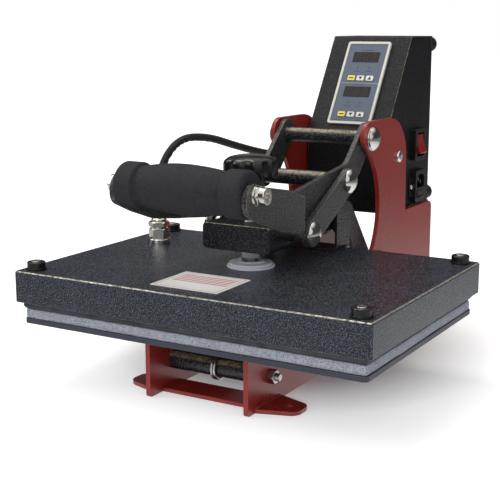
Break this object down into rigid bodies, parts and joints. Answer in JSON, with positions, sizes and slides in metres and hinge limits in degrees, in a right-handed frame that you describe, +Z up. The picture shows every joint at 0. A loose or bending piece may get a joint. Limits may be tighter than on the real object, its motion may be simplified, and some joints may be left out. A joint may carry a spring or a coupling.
{
  "type": "clamshell heat press",
  "caption": "Bench-top clamshell heat press: a toggle lever presses a heated platen onto a silicone pad, with a pressure knob and a control box with digital displays.",
  "frame": {"origin": "on the bench, at the centre of the four foot bolt holes", "axes": "+Z up, +X to the operator's right, the operator stands at -Y; the press is about symmetric across X = 0"},
  "size_m": [0.395, 0.5189, 0.348],
  "materials": {
    "red_paint": "glossy red paint",
    "black_powder": "textured black powder coat",
    "zinc": "bright zinc plating",
    "steel": "bare ground steel",
    "aluminium": "satin cast aluminium",
    "silicone": "speckled grey silicone",
    "foam": "matte black foam",
    "black_rubber": "matte black rubber",
    "black_plastic": "black moulded plastic",
    "panel_cream": "pale moulded frame",
    "panel_blue": "blue-grey printed film",
    "display": "dark tinted window",
    "button_white": "white keys",
    "button_yellow": "yellow keys",
    "rocker_red": "translucent red rocker",
    "brass_pin": "contact pins",
    "glass_wool": "glass-fibre blanket"
  },
  "bodies": {
    "frame": {"side_plate_right": "red_paint", "side_plate_left": "red_paint", "front_foot_strip": "red_paint", "rear_foot_strip": "red_paint", "tie_rods": "zinc", "tie_sleeves": "black_powder", "platen_crossbars": "black_powder", "lower_platen": "black_powder", "silicone_pad": "silicone", "upper_pivot_bolt": "zinc", "lower_pivot_bolt": "zinc", "pivot_spacers": "zinc", "control_box": "black_powder", "back_cover": "black_powder", "box_screws": "zinc", "rear_bumpers": "black_rubber", "panel_bezel": "panel_cream", "panel_face": "panel_blue", "display_windows": "display", "controller_module": "black_plastic", "rocker_housing": "black_plastic", "inlet_housing": "black_plastic", "inlet_pins": "brass_pin", "box_gland": "zinc", "heater_cable": "black_rubber", "lift_spring": "zinc"},
    "arm": {"arm_tube": "black_powder", "arm_fins": "black_powder", "arm_pivot_tube": "black_powder", "spindle_nut": "zinc", "link_pivot_pin": "zinc", "spring_pin": "zinc"},
    "platen": {"heat_cover": "black_powder", "heat_plate": "aluminium", "heating_element": "steel", "insulation": "glass_wool", "corner_collars": "black_plastic", "corner_screws": "zinc", "gland_body": "zinc", "gland_nut": "zinc", "swivel_flange": "zinc", "guide_bracket": "black_powder"},
    "knob": {"pressure_knob": "black_plastic", "threaded_rod": "zinc", "jam_nut": "zinc"},
    "lever": {"lever_plate_right": "black_powder", "lever_plate_left": "black_powder", "lever_tubes": "black_powder", "grip_rod": "zinc", "foam_grip": "foam"},
    "links": {"link_bars": "black_powder", "link_bolts": "zinc"},
    "power_rocker": {"power_rocker": "rocker_red"},
    "fuse_drawer": {"fuse_drawer": "black_plastic"},
    "set_button_lower": {"set_button_lower": "button_yellow"},
    "down_button_lower": {"down_button_lower": "button_white"},
    "up_button_lower": {"up_button_lower": "button_white"},
    "set_button_upper": {"set_button_upper": "button_yellow"},
    "down_button_upper": {"down_button_upper": "button_white"},
    "up_button_upper": {"up_button_upper": "button_white"}
  },
  "joints": [
    {"name": "arm_hinge", "type": "hinge", "parent": "frame", "child": "arm", "pos_m": [0, 0.064, 0.0945], "axis": [-1, 0, 0], "range_deg": [0, 31.39], "deforming": ["lift_spring", "heater_cable"]},
    {"name": "lever_hinge", "type": "hinge", "parent": "frame", "child": "lever", "pos_m": [0, 0.0405, 0.2385], "axis": [-1, 0, 0], "range_deg": [0, 105.05]},
    {"name": "link_hinge", "type": "hinge", "parent": "arm", "child": "links", "pos_m": [0, -0.102, 0.155], "axis": [1, 0, 0], "range_deg": [0, 53.31]},
    {"name": "pressure_slide", "type": "slide", "parent": "arm", "child": "platen", "axis": [0, 0, 1], "range_m": [0, 0.004]},
    {"name": "knob_turn", "type": "hinge", "parent": "platen", "child": "knob", "pos_m": [0, -0.124, 0.212], "axis": [0, 0, 1], "range_deg": [0, 720.1]},
    {"name": "rocker_tilt", "type": "hinge", "parent": "frame", "child": "power_rocker", "pos_m": [0.0545, 0.1915, 0.218], "axis": [0, 1, 0], "range_deg": [0, 16]},
    {"name": "fuse_slide", "type": "slide", "parent": "frame", "child": "fuse_drawer", "axis": [1, 0, 0], "range_m": [0, 0.012]},
    {"name": "set_press_lower", "type": "slide", "parent": "frame", "child": "set_button_lower", "axis": [0, 0.8479, -0.5301], "range_m": [0, 0.0006], "stiffness_N_per_m": 1500, "springref_m": -0.0003},
    {"name": "down_press_lower", "type": "slide", "parent": "frame", "child": "down_button_lower", "axis": [0, 0.8479, -0.5301], "range_m": [0, 0.0006], "stiffness_N_per_m": 1500, "springref_m": -0.0003},
    {"name": "up_press_lower", "type": "slide", "parent": "frame", "child": "up_button_lower", "axis": [0, 0.8479, -0.5301], "range_m": [0, 0.0006], "stiffness_N_per_m": 1500, "springref_m": -0.0003},
    {"name": "set_press_upper", "type": "slide", "parent": "frame", "child": "set_button_upper", "axis": [0, 0.8479, -0.5301], "range_m": [0, 0.0006], "stiffness_N_per_m": 1500, "springref_m": -0.0003},
    {"name": "down_press_upper", "type": "slide", "parent": "frame", "child": "down_button_upper", "axis": [0, 0.8479, -0.5301], "range_m": [0, 0.0006], "stiffness_N_per_m": 1500, "springref_m": -0.0003},
    {"name": "up_press_upper", "type": "slide", "parent": "frame", "child": "up_button_upper", "axis": [0, 0.8479, -0.5301], "range_m": [0, 0.0006], "stiffness_N_per_m": 1500, "springref_m": -0.0003}
  ],
  "couplings": [
    {"joint": "lever_hinge", "follows": "arm_hinge", "ratio": 3.345},
    {"joint": "link_hinge", "follows": "arm_hinge", "ratio": 1.6967},
    {"joint": "knob_turn", "follows": "pressure_slide", "rad_per_m": 3141.6}
  ]
}
